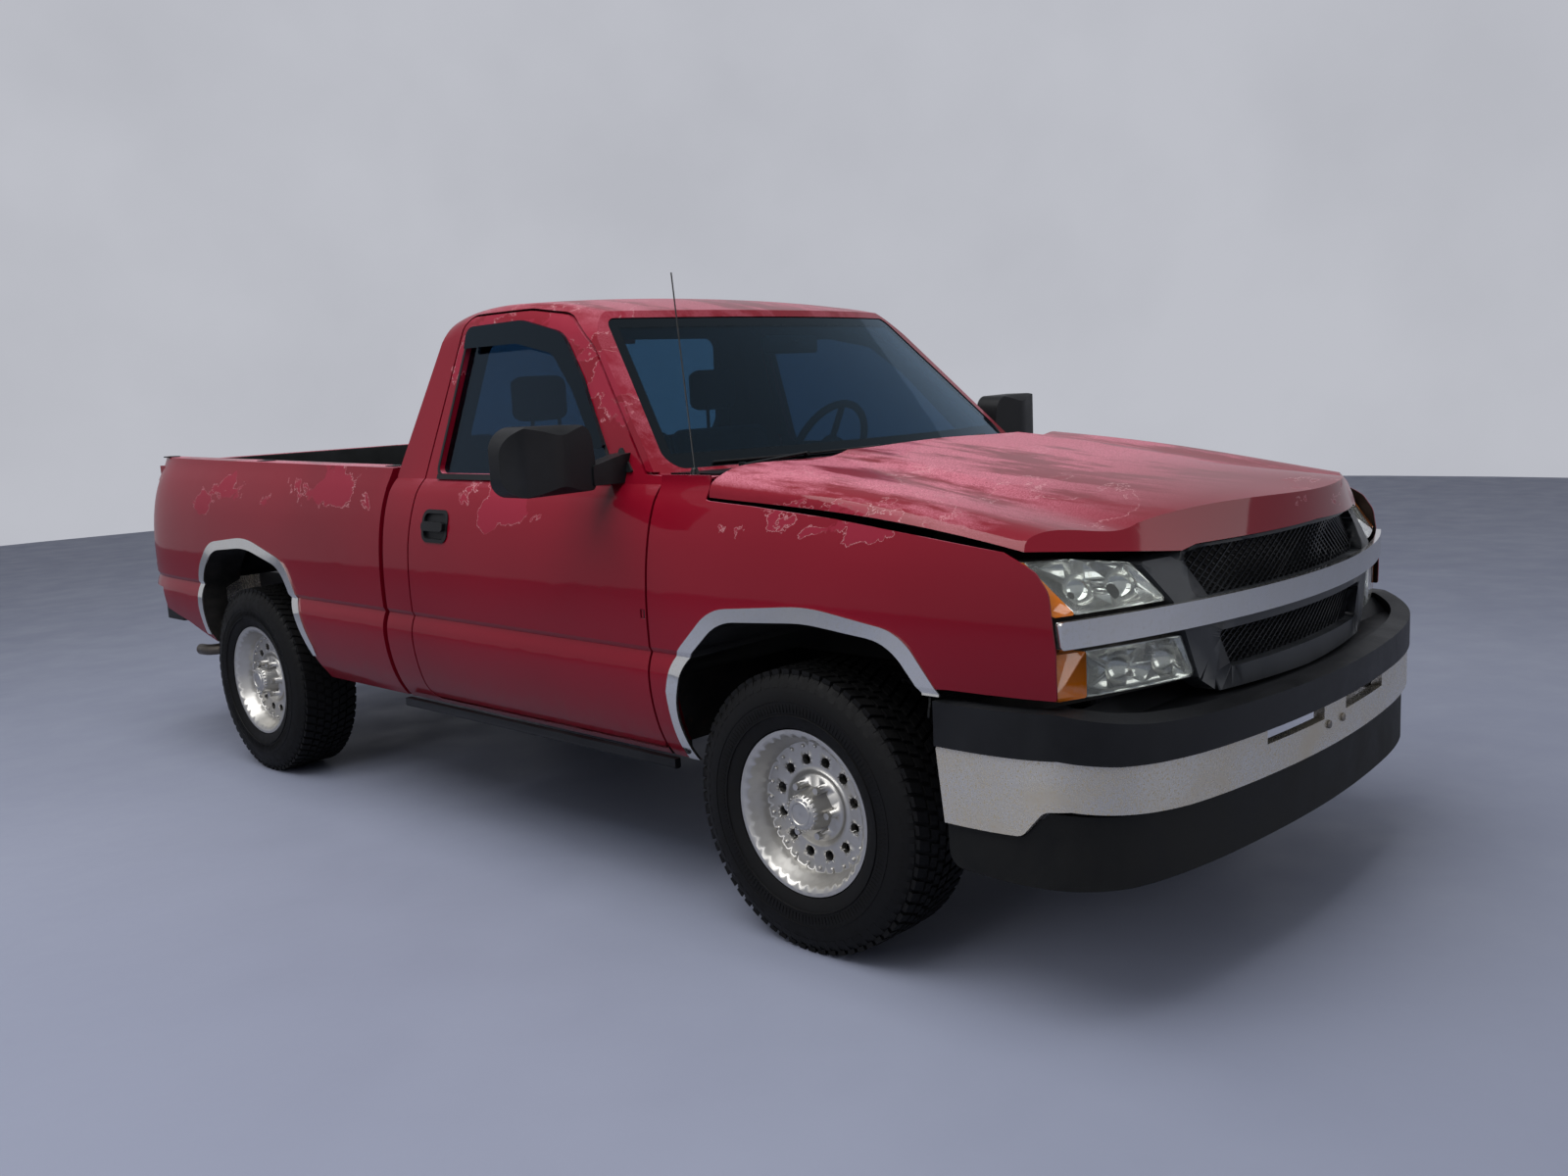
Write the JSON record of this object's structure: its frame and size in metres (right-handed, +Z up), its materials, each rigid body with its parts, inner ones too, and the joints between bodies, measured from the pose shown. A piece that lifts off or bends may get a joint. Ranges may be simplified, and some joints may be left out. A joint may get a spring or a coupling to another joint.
{
  "type": "full-size pickup truck",
  "caption": "Full-size pickup truck with a regular cab, a short open bed, opening doors, hood and tailgate, steered front wheels and turning wheels, with faded crimson paint.",
  "frame": {"origin": "on the ground below the middle of the truck's length and width", "axes": "+X to the truck's left, +Y to its rear, +Z up"},
  "size_m": [2.58, 5.224, 1.8103],
  "materials": {
    "paint": "crimson clear coat, faded and peeling",
    "chrome": "polished, speckled",
    "black_steel": "black wax and dust",
    "iron": "rough",
    "bare_steel": "machined",
    "exhaust_steel": "heat stained",
    "alloy": "machined and lacquered",
    "tyre": "matte",
    "window_glass": "light tint",
    "lamp_lens": "clear, slightly hazed",
    "signal_lens": "amber lens",
    "smoked_plastic": "smoked acrylic",
    "tail_lens": "red lens",
    "black_plastic": "grained",
    "grey_plastic": "satin",
    "tank_plastic": "moulded",
    "cloth": "woven"
  },
  "bodies": {
    "body": {"frame": "black_steel", "suspension": "black_steel", "rear_axle": "iron", "powertrain": "iron", "driveshaft": "bare_steel", "fuel_tank": "tank_plastic", "exhaust": "exhaust_steel", "cab_shell": "paint", "cab_glass": "window_glass", "cowl_panel": "black_plastic", "dashboard": "grey_plastic", "seat": "cloth", "fender_right": "paint", "fender_left": "paint", "wheel_liners": "black_plastic", "radiator_support": "black_steel", "grille": "grey_plastic", "grille_bar": "chrome", "headlamps": "lamp_lens", "lamp_reflectors": "chrome", "signal_lenses": "signal_lens", "front_bumper": "chrome", "bumper_covers": "black_plastic", "bed_box": "black_steel", "bedside_right": "paint", "bedside_left": "paint", "rear_bumper": "chrome", "tail_lamps": "tail_lens", "arch_trims": "chrome", "wipers": "black_plastic", "rocker_strips": "black_plastic", "antenna": "black_plastic"},
    "door_right": {"door_right": "paint", "door_glass_right": "window_glass", "door_fittings_right": "black_plastic", "door_visor_right": "smoked_plastic"},
    "knuckle_right": {"knuckle_right": "iron"},
    "door_left": {"door_left": "paint", "door_glass_left": "window_glass", "door_fittings_left": "black_plastic", "door_visor_left": "smoked_plastic"},
    "knuckle_left": {"knuckle_left": "iron"},
    "wheel_front_right": {"tyre_front_right": "tyre", "rim_front_right": "alloy", "rotor_front_right": "bare_steel"},
    "wheel_front_left": {"tyre_front_left": "tyre", "rim_front_left": "alloy", "rotor_front_left": "bare_steel"},
    "wheel_rear_right": {"tyre_rear_right": "tyre", "rim_rear_right": "alloy", "rotor_rear_right": "bare_steel"},
    "wheel_rear_left": {"tyre_rear_left": "tyre", "rim_rear_left": "alloy", "rotor_rear_left": "bare_steel"},
    "steering_rack": {"tie_rods": "bare_steel"},
    "steering_wheel": {"steering_wheel": "grey_plastic"},
    "hood": {"hood": "paint"},
    "tailgate": {"tailgate": "paint"},
    "fuel_door": {"fuel_door": "paint"}
  },
  "joints": [
    {"name": "steer_left", "type": "hinge", "parent": "body", "child": "knuckle_left", "pos_m": [0.74, -1.606, 0.381], "axis": [0, 0, 1], "range_deg": [-32, 32]},
    {"name": "steer_right", "type": "hinge", "parent": "body", "child": "knuckle_right", "pos_m": [-0.74, -1.606, 0.381], "axis": [0, 0, 1], "range_deg": [-32, 32]},
    {"name": "steering_rack_slide", "type": "slide", "parent": "body", "child": "steering_rack", "axis": [-1, 0, 0], "range_m": [-0.066, 0.066]},
    {"name": "steering_wheel_turn", "type": "hinge", "parent": "body", "child": "steering_wheel", "pos_m": [0.4, -0.547, 1.229], "axis": [0, 0.9063, 0.4226], "range_deg": [-520, 520]},
    {"name": "wheel_spin_front_left", "type": "hinge", "parent": "knuckle_left", "child": "wheel_front_left", "pos_m": [0.85, -1.606, 0.381], "axis": [1, 0, 0], "continuous": true},
    {"name": "wheel_spin_front_right", "type": "hinge", "parent": "knuckle_right", "child": "wheel_front_right", "pos_m": [-0.85, -1.606, 0.381], "axis": [1, 0, 0], "continuous": true},
    {"name": "wheel_spin_rear_left", "type": "hinge", "parent": "body", "child": "wheel_rear_left", "pos_m": [0.85, 1.417, 0.381], "axis": [1, 0, 0], "continuous": true},
    {"name": "wheel_spin_rear_right", "type": "hinge", "parent": "body", "child": "wheel_rear_right", "pos_m": [-0.85, 1.417, 0.381], "axis": [1, 0, 0], "continuous": true},
    {"name": "door_right_swing", "type": "hinge", "parent": "body", "child": "door_right", "pos_m": [-0.982, -1.051, 0.77], "axis": [0, 0, 1], "range_deg": [0, 68]},
    {"name": "door_left_swing", "type": "hinge", "parent": "body", "child": "door_left", "pos_m": [0.982, -1.051, 0.77], "axis": [0, 0, -1], "range_deg": [0, 68]},
    {"name": "hood_lift", "type": "hinge", "parent": "body", "child": "hood", "pos_m": [0, -1.24, 1.235], "axis": [-1, 0, 0], "range_deg": [0, 50]},
    {"name": "tailgate_drop", "type": "hinge", "parent": "body", "child": "tailgate", "pos_m": [0, 2.402, 0.785], "axis": [-1, 0, 0], "range_deg": [0, 90]},
    {"name": "fuel_door_swing", "type": "hinge", "parent": "body", "child": "fuel_door", "pos_m": [0.988, 0.563, 0.905], "axis": [0, 0, -1], "range_deg": [0, 100]}
  ],
  "couplings": [
    {"joint": "steer_right", "follows": "steer_left", "ratio": 1},
    {"joint": "steering_rack_slide", "follows": "steer_left", "m_per_rad": 0.1139},
    {"joint": "steering_wheel_turn", "follows": "steer_left", "ratio": 16}
  ]
}
